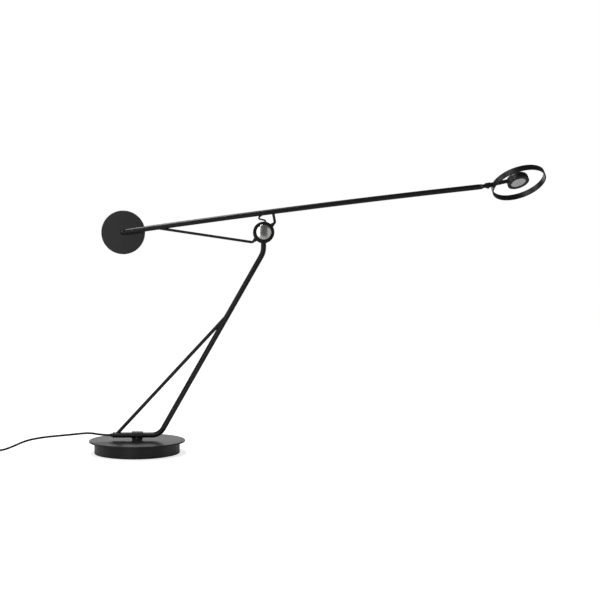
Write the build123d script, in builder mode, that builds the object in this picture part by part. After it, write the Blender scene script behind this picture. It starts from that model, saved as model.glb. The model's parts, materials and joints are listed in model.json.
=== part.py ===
from build123d import *
import math
import os

# A counterweight balance desk lamp: a heavy round base, a bent stem that swivels on it, and a
# long thin arm that tilts about a hub, with a counterweight disc behind and a small ring-shaped
# LED head in front.
#
# Frame: the origin is at the centre of the underside of the base, +Z is up and +X points from
# the counterweight to the head. -Y is the front, where the clamp knob is. Sizes in millimetres.

# ---------------------------------------------------------------- driving dimensions

# Fits, as gaps on the radius or between faces
run_fit = 0.05  # a shaft that turns in its bore
seat_fit = 0.1  # a fixed part in its seat
turn_gap = 0.1  # between flat faces that turn on each other

# Base
drum_d = 160.0
drum_h = 21.0
drum_round = 0.8
pad_d = 150.0
pad_t = 1.0
plate_d = 180.0
plate_t = 3.0
plate_round = 0.8
pocket_d = 30.0
pocket_h = 9.0
plate_screw_d = 5.0
plate_screw_head_d = 9.0
plate_screw_head_h = 3.0
plate_screw_sink = 9.0
plate_screw_bite = 2.0
plate_screw_pcd = 110.0
plate_screw_count = 3

# Swivel under the tee fitting
spigot_d = 12.0
bush_wall = 2.0
thrust_t = 0.8
thrust_d = 18.4
swivel_screw_d = 6.0
swivel_screw_bite = 12.0
swivel_head_d = 11.0
swivel_head_h = 3.6
swivel_washer_d = 24.0
swivel_washer_t = 2.0

# Tee fitting
tee_foot_d = 19.0
tee_foot_h = 3.0
tee_length = 21.0
tee_sleeve_wall = 2.0
tee_neck_d = 12.4
grub_d = 4.0
grub_length = 3.2
grub_key = 2.0

# Stem: one bent tube
tube_d = 10.0
tube_wall = 1.5
stem_axis_lift = 9.0
stem_back_x = -43.0
stem_bend_x = 41.8
stem_top_bend_z = 377.7
stem_low_radius = 25.0
stem_top_radius = 35.0

# Brace between the stem's foot and its upper half
brace_d = 6.5
brace_foot_x = -40.2
brace_height = 226.5

# Gland in the back end of the stem
gland_rim = 0.5
gland_flange = 3.0
gland_nozzle = 6.0
gland_nozzle_wall = 1.6
gland_tip_wall = 0.7
gland_spigot = 6.0

# Hub
hub_x = 237.4
hub_z = 414.3
hub_d = 40.0
stem_hub_wall = 1.0
arm_hub_t = 10.0
hub_round = 0.8
friction_t = 1.0
friction_margin = 0.8
friction_in_d = 30.0
axle_d = 6.0
axle_head_d = 14.0
axle_head_h = 4.0
axle_key = 5.0
stem_socket = 9.0
socket_step = 0.6
hub_bush_wall = 2.0
lead_groove_in_d = 21.0
lead_groove_out_d = 27.0
lead_groove_depth = 5.0
spring_pocket_d = 20.0
spring_pocket_depth = 2.5
spring_washer_d = 17.0
spring_washer_t = 0.9

# Lugs on the arm's half of the hub, and the two rods welded between them and the arm
lug_angle = 41.0
lug_length = 3.8
lug_foot_wall = 2.0
lug_tip_wall = 0.7
rod_d = 5.0
rod_sink = 3.8
rod_elbow_out = 8.0
rod_bend = 4.5
strut_dx = 17.7
strut_drop = 2.6
long_brace_dx = -204.6

# Clamp knob
knob_d = 27.5
knob_t = 7.6
knob_dome = 1.8
knob_gap = 0.3
knob_round = 0.6
knob_insert_wall = 3.0
knob_insert_t = 5.4
axle_in_knob = 4.6

# Arm: a tube with a slight upward bow, bent back at its rear end into the counterweight
pivot_dx = 406.5
pivot_dz = 85.4
rear_dx = -255.7
rear_dz = 1.7
arm_bow = 2.8
arm_rear_bend = 8.0
arm_tip_gap = 14.0
arm_end_spigot = 16.0

# Counterweight
weight_d = 82.0
weight_t = 7.5
weight_round = 0.8
weight_floor = 3.5
weight_screw_d = 4.0
weight_screw_head_d = 8.4
weight_screw_head_h = 2.3

# Tilt joint at the end of the arm
slot_w = 4.1
slot_depth = 4.2
tongue_w = 3.7
tongue_h = 7.0
tongue_clear = 0.6
neck_length = 1.8
pin_d = 2.5
pin_sink = 0.3
spindle_d = 4.4
spindle_length = 8.2
groove_d = 3.2
groove_in = 3.0
groove_w = 3.0

# Head
head_pitch = 12.0
head_roll = 27.5
collar_wall = 1.2
collar_length = 10.2
collar_screw_d = 2.6
collar_screw_head_d = 4.6
collar_screw_stand = 1.5
head_rod_d = 7.4
head_rod_wall = 1.2
head_rod_seat = 1.6
ring_d = 101.0
ring_wall = 2.3
ring_h = 10.8
ring_gap = 0.3
ring_drop = 8.7
ring_round = 0.5
lamp_offset = 0.0
lamp_d = 40.6
lamp_up = 5.2
lamp_down = 8.9
lamp_wall = 2.0
lamp_top = 2.2
lamp_round = 6.0
sink_t = 6.2
board_margin = 2.0
board_t = 1.2
chip_w = 3.0
chip_t = 0.6
chip_pcd = 18.0
chip_count = 6
bezel_face = 4.2
diffuser_lap = 1.2
diffuser_t = 2.0
bezel_h = 3.4
bezel_lip = 0.8

# Leads inside the lamp
inner_lead_d = 2.4
bridge_lead_d = 3.2
bridge_lead_hole_d = 3.6
bridge_dx = 0.6

# Cord, coil and plug-in driver
cord_d = 3.8
coil_x = -305.0
coil_y = -7.25
coil_radius = 28.25
coil_gap = 1.2
coil_lift = 0.8
coil_quarters = (10, 10, 10, 12)
tail_length = 13.0
driver_relief_length = 22.0
driver_relief_d = 8.4
driver_length = 58.0
driver_width = 36.0
driver_round = 5.0
driver_wall = 1.8
driver_lid_t = 4.0
driver_pin_d = 4.0
driver_pin_length = 19.0
driver_pin_pitch = 19.0
driver_board_t = 1.6

# ---------------------------------------------------------------- places that follow from them

cord_r = cord_d / 2
coil_pitch = cord_d + coil_gap
coil_climb = cord_d + coil_lift
drum_top = pad_t + drum_h
plate_top = drum_top + plate_t
bush_d = spigot_d + 2 * bush_wall
tee_foot_z = plate_top + thrust_t + turn_gap
tee_sleeve_d = tube_d + 2 * tee_sleeve_wall
stem_axis_z = plate_top + stem_axis_lift
tube_r = tube_d / 2
tube_bore = tube_d - 2 * tube_wall
gland_d = tube_d + 2 * gland_rim
gland_nozzle_d = cord_d + 2 * gland_nozzle_wall
gland_tip_d = cord_d + 2 * gland_tip_wall

stem_hub_t = tube_d + 2 * stem_hub_wall
friction_out_d = hub_d - 2 * friction_margin
hub_bush_d = axle_d + 2 * hub_bush_wall
knob_insert_d = axle_d + 2 * knob_insert_wall
lug_reach = hub_d / 2 + lug_length
lug_foot_d = rod_d + 2 * lug_foot_wall
lug_tip_d = rod_d + 2 * lug_tip_wall
rod_start = hub_d / 2 - rod_sink
rod_elbow = hub_d / 2 + rod_elbow_out

stem_hub_front = -stem_hub_t / 2
arm_hub_back = stem_hub_front - friction_t - turn_gap
arm_hub_front = arm_hub_back - arm_hub_t
arm_y = (arm_hub_back + arm_hub_front) / 2
knob_back = arm_hub_front - knob_gap
knob_front = knob_back - knob_t

stem_corners = (
    (stem_bend_x, stem_axis_z),
    (hub_x, stem_top_bend_z),
)
stem_radii = (stem_low_radius, stem_top_radius)
socket_top = hub_z - hub_d / 2 + stem_socket
stem_lean = math.atan2(hub_x - stem_bend_x, stem_top_bend_z - stem_axis_z)
brace_foot = (brace_foot_x, stem_axis_z)
brace_top = (stem_bend_x + brace_height * math.tan(stem_lean), stem_axis_z + brace_height)

pivot = (hub_x + pivot_dx, hub_z + pivot_dz)
rear = (hub_x + rear_dx, hub_z + rear_dz)
weight_socket = weight_t - weight_floor

# Places along the head's axis, from the tilt pivot
tongue_length = tube_r + tongue_clear
neck_end = tongue_length + neck_length
spindle_end = neck_end + spindle_length
groove_start = neck_end + groove_in
collar_start = neck_end + turn_gap
collar_end = collar_start + collar_length
collar_screw_at = groove_start + groove_w / 2
collar_d = head_rod_d + 2 * collar_wall
collar_screw_reach = collar_d / 2 + collar_screw_stand
head_rod_bore = head_rod_d - 2 * head_rod_wall
pin_length = tube_d - 2 * pin_sink
ring_at = collar_end + ring_gap + ring_d / 2
lamp_at = ring_at + lamp_offset
lamp_bore = lamp_d - 2 * lamp_wall
board_d = lamp_bore - 2 * board_margin
window_d = lamp_bore - 2 * bezel_face
diffuser_d = window_d + 2 * diffuser_lap


def upright(y):
    """The plane parallel to the lamp's own plane at depth y, with its x along +X and its y up."""
    return Plane.XZ.offset(-y)


def polar(x, z, radius, degrees):
    """A point at a radius and an angle about (x, z), seen from the front."""
    turn = math.radians(degrees)
    return (x + radius * math.cos(turn), z + radius * math.sin(turn))


def about_hub(radius, degrees):
    return polar(hub_x, hub_z, radius, degrees)


# The arm's centreline is an arc that rises arm_bow above the chord from its rear to the pivot.
chord = math.dist(rear, pivot)
chord_angle = math.atan2(pivot[1] - rear[1], pivot[0] - rear[0])
bow_radius = (chord**2 / 4 + arm_bow**2) / (2 * arm_bow)
bow_half = math.asin(chord / 2 / bow_radius)
bow_x = (rear[0] + pivot[0]) / 2 + (bow_radius - arm_bow) * math.sin(chord_angle)
bow_z = (rear[1] + pivot[1]) / 2 - (bow_radius - arm_bow) * math.cos(chord_angle)
bow_length = 2 * bow_half * bow_radius


def arm_turn(back):
    """The angle about the bow's centre of the point that lies back along the arm from the pivot."""
    return math.pi / 2 + chord_angle - bow_half + back / bow_radius


def arm_point(back, lift=0.0):
    """A point on the arm's centreline, or lifted square to it."""
    return polar(bow_x, bow_z, bow_radius + lift, math.degrees(arm_turn(back)))


def arm_over(dx, drop=0.0):
    """The point of the arm's centreline at a distance from the hub's axis, or a drop below it."""
    x = hub_x + dx
    return (x, bow_z + math.sqrt(bow_radius**2 - (x - bow_x) ** 2) - drop)


def arm_direction(back):
    """The unit vector along the arm towards the head."""
    turn = arm_turn(back)
    return Vector(math.sin(turn), 0, -math.cos(turn))


strut_top = arm_over(strut_dx, strut_drop)
long_brace_end = arm_over(long_brace_dx)

# The plane at the tilt pivot: x along the arm, y up, facing the front.
pivot_point = Vector(pivot[0], arm_y, pivot[1])
arm_end_plane = Plane(origin=pivot_point, x_dir=arm_direction(0), z_dir=(0, -1, 0))

# The head's two planes at the pivot: the first is pitched, and the second is rolled as well.
head_direction = Vector(math.cos(math.radians(head_pitch)), 0, math.sin(math.radians(head_pitch)))
head_side = Plane(origin=pivot_point, x_dir=head_direction, z_dir=(0, -1, 0))
head_lean = math.radians(head_roll)
head_up = head_side.y_dir * math.cos(head_lean) + Vector(0, 1, 0) * math.sin(head_lean)
head_plane = Plane(origin=pivot_point, x_dir=head_direction, z_dir=head_up)
ring_z = -ring_drop


def across(plane, distance):
    """The plane square to another plane's x axis, at a distance along it."""
    return Plane(
        origin=plane.from_local_coords(Vector(distance, 0, 0)),
        x_dir=plane.y_dir,
        z_dir=plane.x_dir,
    )


# ---------------------------------------------------------------- base

with BuildPart() as foot_pad:
    with BuildSketch():
        Circle(pad_d / 2)
    extrude(amount=pad_t)

with BuildPart() as base_weight:
    with BuildSketch(Plane.XY.offset(pad_t)):
        Circle(drum_d / 2)
    extrude(amount=drum_h)
    rims = base_weight.edges().filter_by(GeomType.CIRCLE)
    fillet(rims, radius=drum_round)
    with BuildSketch(Plane.XY.offset(pad_t)):
        Circle(pocket_d / 2)
    extrude(amount=pocket_h, mode=Mode.SUBTRACT)
    with BuildSketch(Plane.XY.offset(pad_t)):
        Circle(bush_d / 2 + seat_fit)
    extrude(amount=drum_h, mode=Mode.SUBTRACT)
    with BuildSketch(Plane.XY.offset(pad_t)):
        with PolarLocations(plate_screw_pcd / 2, plate_screw_count):
            Circle(plate_screw_d / 2 + seat_fit)
    extrude(amount=drum_h, mode=Mode.SUBTRACT)
    with BuildSketch(Plane.XY.offset(pad_t)):
        with PolarLocations(plate_screw_pcd / 2, plate_screw_count):
            Circle(plate_screw_head_d / 2 + seat_fit)
    extrude(amount=plate_screw_sink, mode=Mode.SUBTRACT)

with BuildPart() as base_plate:
    with BuildSketch(Plane.XY.offset(drum_top)):
        Circle(plate_d / 2)
    extrude(amount=plate_t)
    fillet(base_plate.edges().filter_by(GeomType.CIRCLE), radius=plate_round)
    with BuildSketch(Plane.XY.offset(drum_top)):
        Circle(spigot_d / 2 + 2 * seat_fit)
    extrude(amount=plate_t, mode=Mode.SUBTRACT)
    with BuildSketch(Plane.XY.offset(drum_top)):
        with PolarLocations(plate_screw_pcd / 2, plate_screw_count):
            Circle(plate_screw_d / 2 + seat_fit)
    extrude(amount=plate_screw_bite, mode=Mode.SUBTRACT)

# Three screws come up through the drum and hold the plate from below.
plate_screw_head_z = pad_t + plate_screw_sink - plate_screw_head_h
with BuildPart() as plate_screws:
    with BuildSketch(Plane.XY.offset(plate_screw_head_z)):
        with PolarLocations(plate_screw_pcd / 2, plate_screw_count):
            Circle(plate_screw_head_d / 2)
    extrude(amount=plate_screw_head_h)
    with BuildSketch(Plane.XY.offset(pad_t + plate_screw_sink)):
        with PolarLocations(plate_screw_pcd / 2, plate_screw_count):
            Circle(plate_screw_d / 2)
    extrude(amount=drum_top + plate_screw_bite - seat_fit - pad_t - plate_screw_sink)
    with BuildSketch(Plane.XY.offset(plate_screw_head_z)):
        with PolarLocations(plate_screw_pcd / 2, plate_screw_count):
            RegularPolygon(radius=plate_screw_d / 2, side_count=6)
    extrude(amount=plate_screw_head_h * 0.6, mode=Mode.SUBTRACT)

bush_z = pad_t + pocket_h
with BuildPart() as swivel_bush:
    with BuildSketch(Plane.XY.offset(bush_z)):
        Circle(bush_d / 2)
        Circle(spigot_d / 2 + run_fit, mode=Mode.SUBTRACT)
    extrude(amount=drum_top - bush_z)

with BuildPart() as thrust_washer:
    with BuildSketch(Plane.XY.offset(plate_top)):
        Circle(thrust_d / 2)
        Circle(spigot_d / 2 + 2 * seat_fit, mode=Mode.SUBTRACT)
    extrude(amount=thrust_t)

# ---------------------------------------------------------------- tee fitting and its swivel

spigot_z = bush_z - turn_gap
with BuildPart() as tee_fitting:
    with BuildSketch(Plane.XY.offset(tee_foot_z)):
        Circle(tee_foot_d / 2)
    extrude(amount=tee_foot_h)
    fillet(tee_fitting.edges().filter_by(GeomType.CIRCLE).sort_by(Axis.Z)[-1], radius=0.8)
    with BuildSketch(Plane.YZ.offset(-tee_length / 2)):
        with Locations((0, stem_axis_z)):
            Circle(tee_sleeve_d / 2)
    extrude(amount=tee_length)
    chamfer(tee_fitting.faces().sort_by(Axis.X)[-1].edges(), length=0.4)
    chamfer(tee_fitting.faces().sort_by(Axis.X)[0].edges(), length=0.4)
    with BuildSketch(Plane.XY.offset(tee_foot_z + tee_foot_h / 2)):
        Circle(tee_neck_d / 2)
    extrude(amount=stem_axis_z - tee_foot_z - tee_foot_h / 2)
    with BuildSketch(Plane.XY.offset(spigot_z)):
        Circle(spigot_d / 2)
    extrude(amount=tee_foot_z - spigot_z + tee_foot_h / 2)
    with BuildSketch(Plane.YZ.offset(-tee_length)):
        with Locations((0, stem_axis_z)):
            Circle(tube_r + seat_fit / 2)
    extrude(amount=2 * tee_length, mode=Mode.SUBTRACT)
    with BuildSketch(Plane.XY.offset(spigot_z)):
        Circle(swivel_screw_d / 2 + seat_fit)
    extrude(amount=swivel_screw_bite + 1, mode=Mode.SUBTRACT)
    with BuildSketch(Plane.XZ):
        with Locations((0, stem_axis_z)):
            Circle(grub_d / 2 + seat_fit)
    extrude(amount=tee_sleeve_d, mode=Mode.SUBTRACT)

with BuildPart() as tee_grub_screw:
    with BuildSketch(upright(-tube_r - seat_fit)):
        with Locations((0, stem_axis_z)):
            Circle(grub_d / 2)
    extrude(amount=grub_length)
    with BuildSketch(upright(-tube_r - seat_fit - grub_length / 2)):
        with Locations((0, stem_axis_z)):
            RegularPolygon(radius=grub_key / 2, side_count=6)
    extrude(amount=grub_length, mode=Mode.SUBTRACT)

with BuildPart() as swivel_washer:
    with BuildSketch(Plane.XY.offset(spigot_z - swivel_washer_t)):
        Circle(swivel_washer_d / 2)
        Circle(swivel_screw_d / 2 + seat_fit, mode=Mode.SUBTRACT)
    extrude(amount=swivel_washer_t)

swivel_head_z = spigot_z - swivel_washer_t - swivel_head_h
with BuildPart() as swivel_screw:
    with BuildSketch(Plane.XY.offset(swivel_head_z)):
        Circle(swivel_head_d / 2)
    extrude(amount=swivel_head_h)
    with BuildSketch(Plane.XY.offset(swivel_head_z + swivel_head_h)):
        Circle(swivel_screw_d / 2)
    extrude(amount=swivel_washer_t + swivel_screw_bite)
    with BuildSketch(Plane.XY.offset(swivel_head_z)):
        RegularPolygon(radius=swivel_screw_d / 2, side_count=6)
    extrude(amount=swivel_head_h * 0.6, mode=Mode.SUBTRACT)

# ---------------------------------------------------------------- stem

# The outside of the bent tube, as a solid that its brace is trimmed against.
with BuildPart() as stem_outside:
    with BuildLine(Plane.XZ) as stem_line:
        FilletPolyline(
            (stem_back_x, stem_axis_z),
            *stem_corners,
            (hub_x, socket_top),
            radius=stem_radii,
        )
    with BuildSketch(Plane(origin=stem_line.line @ 0, z_dir=stem_line.line % 0)):
        Circle(tube_r)
    sweep(path=stem_line.line)

with BuildPart() as stem_tube:
    with BuildSketch(Plane(origin=stem_line.line @ 0, z_dir=stem_line.line % 0)):
        Circle(tube_r)
        Circle(tube_bore / 2, mode=Mode.SUBTRACT)
    sweep(path=stem_line.line)

with BuildPart() as lower_brace:
    with BuildLine(Plane.XZ) as brace_line:
        Line(brace_foot, brace_top)
    with BuildSketch(Plane(origin=brace_line.line @ 0, z_dir=brace_line.line % 0)):
        Circle(brace_d / 2)
    sweep(path=brace_line.line)
    add(stem_outside.part, mode=Mode.SUBTRACT)

gland_tip_x = stem_back_x - gland_flange - gland_nozzle
with BuildPart() as tube_gland:
    with BuildSketch(Plane.XZ):
        with BuildLine():
            Polyline(
                (gland_tip_x, stem_axis_z),
                (gland_tip_x, stem_axis_z + gland_tip_d / 2),
                (stem_back_x - gland_flange, stem_axis_z + gland_nozzle_d / 2),
                (stem_back_x - gland_flange, stem_axis_z + gland_d / 2),
                (stem_back_x, stem_axis_z + gland_d / 2),
                (stem_back_x, stem_axis_z + tube_bore / 2 - seat_fit),
                (stem_back_x + gland_spigot, stem_axis_z + tube_bore / 2 - seat_fit),
                (stem_back_x + gland_spigot, stem_axis_z),
                close=True,
            )
        make_face()
    revolve(axis=Axis((0, 0, stem_axis_z), (1, 0, 0)))
    with BuildSketch(Plane.YZ.offset(gland_tip_x)):
        with Locations((0, stem_axis_z)):
            Circle(cord_r + seat_fit)
    extrude(amount=gland_flange + gland_nozzle + gland_spigot, mode=Mode.SUBTRACT)
    fillet(
        tube_gland.edges().filter_by(GeomType.CIRCLE).filter_by(lambda e: e.radius > gland_d / 2 - 0.01),
        radius=0.5,
    )

# The lead inside the stem, from the gland to the hub.
with BuildPart() as stem_lead:
    with BuildLine(Plane.XZ) as stem_lead_line:
        FilletPolyline(
            (gland_tip_x + 4 * seat_fit, stem_axis_z),
            *stem_corners,
            (hub_x, socket_top - seat_fit),
            radius=stem_radii,
        )
    with BuildSketch(Plane(origin=stem_lead_line.line @ 0, z_dir=stem_lead_line.line % 0)):
        Circle(cord_r)
    sweep(path=stem_lead_line.line)

# ---------------------------------------------------------------- hub, stem side

with BuildPart() as stem_hub:
    with BuildSketch(upright(stem_hub_t / 2)):
        with Locations((hub_x, hub_z)):
            Circle(hub_d / 2)
    extrude(amount=stem_hub_t)
    fillet(stem_hub.edges().filter_by(GeomType.CIRCLE), radius=hub_round)
    with BuildSketch(upright(stem_hub_t / 2)):
        with Locations((hub_x, hub_z)):
            Circle(axle_d / 2 + seat_fit)
    extrude(amount=stem_hub_t, mode=Mode.SUBTRACT)
    with BuildSketch(Plane.XY.offset(hub_z - hub_d)):
        with Locations((hub_x, 0)):
            Circle(tube_r + seat_fit / 2)
    extrude(amount=socket_top - hub_z + hub_d, mode=Mode.SUBTRACT)
    with BuildSketch(Plane.XZ):
        with Locations((hub_x, socket_top - inner_lead_d - socket_step)):
            Circle(inner_lead_d)
    extrude(amount=stem_hub_t, mode=Mode.SUBTRACT)

with BuildPart() as friction_disc:
    with BuildSketch(upright(stem_hub_front)):
        with Locations((hub_x, hub_z)):
            Circle(friction_out_d / 2)
            Circle(friction_in_d / 2, mode=Mode.SUBTRACT)
    extrude(amount=friction_t)

axle_front = knob_back - axle_in_knob
with BuildPart() as hub_axle:
    with BuildSketch(upright(stem_hub_t / 2 + axle_head_h)):
        with Locations((hub_x, hub_z)):
            Circle(axle_head_d / 2)
    extrude(amount=axle_head_h)
    fillet(hub_axle.edges().filter_by(GeomType.CIRCLE).sort_by(Axis.Y)[-1], radius=1.2)
    with BuildSketch(upright(stem_hub_t / 2)):
        with Locations((hub_x, hub_z)):
            Circle(axle_d / 2)
    extrude(amount=stem_hub_t / 2 - axle_front)
    with BuildSketch(upright(stem_hub_t / 2 + axle_head_h)):
        with Locations((hub_x, hub_z)):
            RegularPolygon(radius=axle_key / 2, side_count=6)
    extrude(amount=axle_head_h * 0.6, mode=Mode.SUBTRACT)

# The lead turns round the axle in a groove between the two halves, so that it can wind up.
groove_mid = (lead_groove_in_d + lead_groove_out_d) / 4
with BuildPart() as hub_lead:
    with BuildLine(upright(arm_hub_back - lead_groove_depth / 2)) as hub_lead_line:
        CenterArc((hub_x, hub_z), groove_mid, -80, -200)
    with BuildSketch(Plane(origin=hub_lead_line.line @ 0, z_dir=hub_lead_line.line % 0)):
        Circle(inner_lead_d / 2)
    sweep(path=hub_lead_line.line)

spring_back = arm_hub_front + spring_pocket_depth
with BuildPart() as spring_washers:
    with BuildSketch(upright(spring_back - turn_gap)):
        with Locations((hub_x, hub_z)):
            Circle(spring_washer_d / 2)
            Circle(axle_d / 2 + seat_fit, mode=Mode.SUBTRACT)
    extrude(amount=spring_washer_t)
    with BuildSketch(upright(spring_back - 2 * turn_gap - spring_washer_t)):
        with Locations((hub_x, hub_z)):
            Circle(spring_washer_d / 2 - 1)
            Circle(axle_d / 2 + seat_fit, mode=Mode.SUBTRACT)
    extrude(amount=spring_washer_t, taper=40)

# ---------------------------------------------------------------- hub, arm side

# A plane square to each lug's axis, through the hub's centre.
lug_angles = (lug_angle, lug_angle + 180)
lug_planes = [
    Plane(
        origin=(hub_x, arm_y, hub_z),
        x_dir=(0, -1, 0),
        z_dir=(math.cos(math.radians(a)), 0, math.sin(math.radians(a))),
    )
    for a in lug_angles
]

# The lead that bridges the hub and the arm: out of the arm, round a tight corner, into the hub.
bridge_corners = ((hub_x - 11.2, hub_z + 25.8), (hub_x + 2.8, hub_z + 22.6))
bridge_radii = (2.2, 3.0)
bridge_in_arm = arm_over(bridge_dx)
bridge_in_hub = (hub_x + 4.6, hub_z + 12.2)
bridge_into_hub = Vector(
    bridge_in_hub[0] - bridge_corners[1][0],
    0,
    bridge_in_hub[1] - bridge_corners[1][1],
).normalized()

with BuildPart() as arm_hub:
    with BuildSketch(upright(arm_hub_back)):
        with Locations((hub_x, hub_z)):
            Circle(hub_d / 2)
    extrude(amount=arm_hub_t)
    fillet(arm_hub.edges().filter_by(GeomType.CIRCLE), radius=hub_round)
    for lug_plane in lug_planes:
        with BuildSketch(lug_plane.offset(rod_start - 1)):
            Circle(lug_foot_d / 2)
        with BuildSketch(lug_plane.offset(lug_reach)):
            Circle(lug_tip_d / 2)
        loft()
    with BuildSketch(upright(arm_hub_back)):
        with Locations((hub_x, hub_z)):
            Circle(lead_groove_out_d / 2)
            Circle(lead_groove_in_d / 2, mode=Mode.SUBTRACT)
    extrude(amount=lead_groove_depth, mode=Mode.SUBTRACT)
    with BuildSketch(upright(spring_back)):
        with Locations((hub_x, hub_z)):
            Circle(spring_pocket_d / 2)
    extrude(amount=spring_pocket_depth, mode=Mode.SUBTRACT)
    with BuildSketch(upright(arm_hub_back)):
        with Locations((hub_x, hub_z)):
            Circle(hub_bush_d / 2 + seat_fit)
    extrude(amount=arm_hub_t, mode=Mode.SUBTRACT)
    for lug_plane in lug_planes:
        with BuildSketch(lug_plane.offset(rod_start - seat_fit)):
            Circle(rod_d / 2 + seat_fit / 2)
        extrude(amount=lug_reach, mode=Mode.SUBTRACT)
    with BuildSketch(
        Plane(
            origin=Vector(bridge_in_hub[0], arm_y, bridge_in_hub[1]),
            z_dir=bridge_into_hub * -1,
        )
    ):
        Circle(bridge_lead_hole_d / 2)
    extrude(amount=hub_d / 2, mode=Mode.SUBTRACT)

with BuildPart() as hub_bush:
    with BuildSketch(upright(arm_hub_back)):
        with Locations((hub_x, hub_z)):
            Circle(hub_bush_d / 2)
            Circle(axle_d / 2 + run_fit, mode=Mode.SUBTRACT)
    extrude(amount=arm_hub_t - spring_pocket_depth)

# ---------------------------------------------------------------- clamp knob

knob_axis_plane = Plane(origin=(hub_x, knob_back, hub_z), x_dir=(1, 0, 0), z_dir=(0, 0, 1))
dome_radius = ((knob_d / 2) ** 2 + knob_dome**2) / (2 * knob_dome)
with BuildPart() as clamp_knob:
    with BuildSketch(knob_axis_plane):
        with BuildLine():
            Polyline((0, -knob_t), (0, 0), (knob_d / 2, 0), (knob_d / 2, knob_dome - knob_t))
            RadiusArc((knob_d / 2, knob_dome - knob_t), (0, -knob_t), dome_radius)
        make_face()
    revolve(axis=Axis((hub_x, 0, hub_z), (0, -1, 0)))
    fillet(clamp_knob.edges().filter_by(GeomType.CIRCLE), radius=knob_round)
    with BuildSketch(upright(knob_back)):
        with Locations((hub_x, hub_z)):
            Circle(knob_insert_d / 2 + seat_fit)
    extrude(amount=knob_insert_t + seat_fit, mode=Mode.SUBTRACT)

with BuildPart() as knob_insert:
    with BuildSketch(upright(knob_back)):
        with Locations((hub_x, hub_z)):
            Circle(knob_insert_d / 2)
    extrude(amount=knob_insert_t)
    with BuildSketch(upright(knob_back)):
        with Locations((hub_x, hub_z)):
            Circle(axle_d / 2 + run_fit)
    extrude(amount=axle_in_knob + seat_fit, mode=Mode.SUBTRACT)

# ---------------------------------------------------------------- arm

rear_direction = arm_direction(bow_length)
rear_point = Vector(rear[0], arm_y, rear[1])
bend_centre = rear_point + Vector(0, arm_rear_bend, 0)
half_turn = math.sqrt(0.5) * arm_rear_bend
bend_middle = bend_centre - rear_direction * half_turn - Vector(0, half_turn, 0)
leg_top = bend_centre - rear_direction * arm_rear_bend
leg_end = leg_top + Vector(0, weight_socket, 0)
arm_tube_front = arm_point(arm_tip_gap + seat_fit)
arm_tube_middle = arm_point(bow_length / 2)

with BuildPart() as arm_outside:
    with BuildLine() as arm_line:
        ThreePointArc(
            (arm_tube_front[0], arm_y, arm_tube_front[1]),
            (arm_tube_middle[0], arm_y, arm_tube_middle[1]),
            rear_point,
        )
        ThreePointArc(rear_point, bend_middle, leg_top)
        Line(leg_top, leg_end)
    with BuildSketch(Plane(origin=arm_line.line @ 0, x_dir=(0, 1, 0), z_dir=arm_line.line % 0)):
        Circle(tube_r)
    sweep(path=arm_line.line)

with BuildPart() as bridge_lead:
    with BuildLine(upright(arm_y)) as bridge_line:
        FilletPolyline(bridge_in_arm, *bridge_corners, bridge_in_hub, radius=bridge_radii)
    with BuildSketch(Plane(origin=bridge_line.line @ 0, z_dir=bridge_line.line % 0)):
        Circle(bridge_lead_d / 2)
    sweep(path=bridge_line.line)

bridge_slot_plane = Plane(
    origin=(bridge_in_arm[0], arm_y, bridge_in_arm[1]),
    x_dir=(0, -1, 0),
    z_dir=bridge_line.line % 0,
)
with BuildPart() as arm_tube:
    with BuildSketch(Plane(origin=arm_line.line @ 0, x_dir=(0, 1, 0), z_dir=arm_line.line % 0)):
        Circle(tube_r)
        Circle(tube_bore / 2, mode=Mode.SUBTRACT)
    sweep(path=arm_line.line)
    with BuildSketch(bridge_slot_plane):
        Circle(bridge_lead_hole_d / 2)
    extrude(amount=2 * tube_d, mode=Mode.SUBTRACT)

with BuildPart() as short_strut:
    with BuildLine(upright(arm_y)) as strut_line:
        FilletPolyline(
            about_hub(rod_start, lug_angles[0]),
            about_hub(rod_elbow, lug_angles[0]),
            strut_top,
            radius=rod_bend,
        )
    with BuildSketch(Plane(origin=strut_line.line @ 0, z_dir=strut_line.line % 0)):
        Circle(rod_d / 2)
    sweep(path=strut_line.line)
    add(arm_outside.part, mode=Mode.SUBTRACT)

with BuildPart() as long_brace:
    with BuildLine(upright(arm_y)) as long_brace_line:
        FilletPolyline(
            about_hub(rod_start, lug_angles[1]),
            about_hub(rod_elbow, lug_angles[1]),
            long_brace_end,
            radius=rod_bend,
        )
    with BuildSketch(Plane(origin=long_brace_line.line @ 0, z_dir=long_brace_line.line % 0)):
        Circle(rod_d / 2)
    sweep(path=long_brace_line.line)
    add(arm_outside.part, mode=Mode.SUBTRACT)

# The lead inside the arm, from the bridge to the front end.
arm_lead_back = (pivot_dx - bridge_dx) / math.cos(chord_angle) - inner_lead_d
arm_lead_front = arm_tip_gap + arm_end_spigot + 3 * seat_fit
arm_lead_start = arm_point(arm_lead_back)
arm_lead_middle = arm_point((arm_lead_back + arm_lead_front) / 2)
arm_lead_stop = arm_point(arm_lead_front)
with BuildPart() as arm_lead:
    with BuildLine(upright(arm_y)) as arm_lead_line:
        ThreePointArc(arm_lead_start, arm_lead_middle, arm_lead_stop)
    with BuildSketch(Plane(origin=arm_lead_line.line @ 0, z_dir=arm_lead_line.line % 0)):
        Circle(inner_lead_d / 2)
    sweep(path=arm_lead_line.line)

# ---------------------------------------------------------------- counterweight

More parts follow.
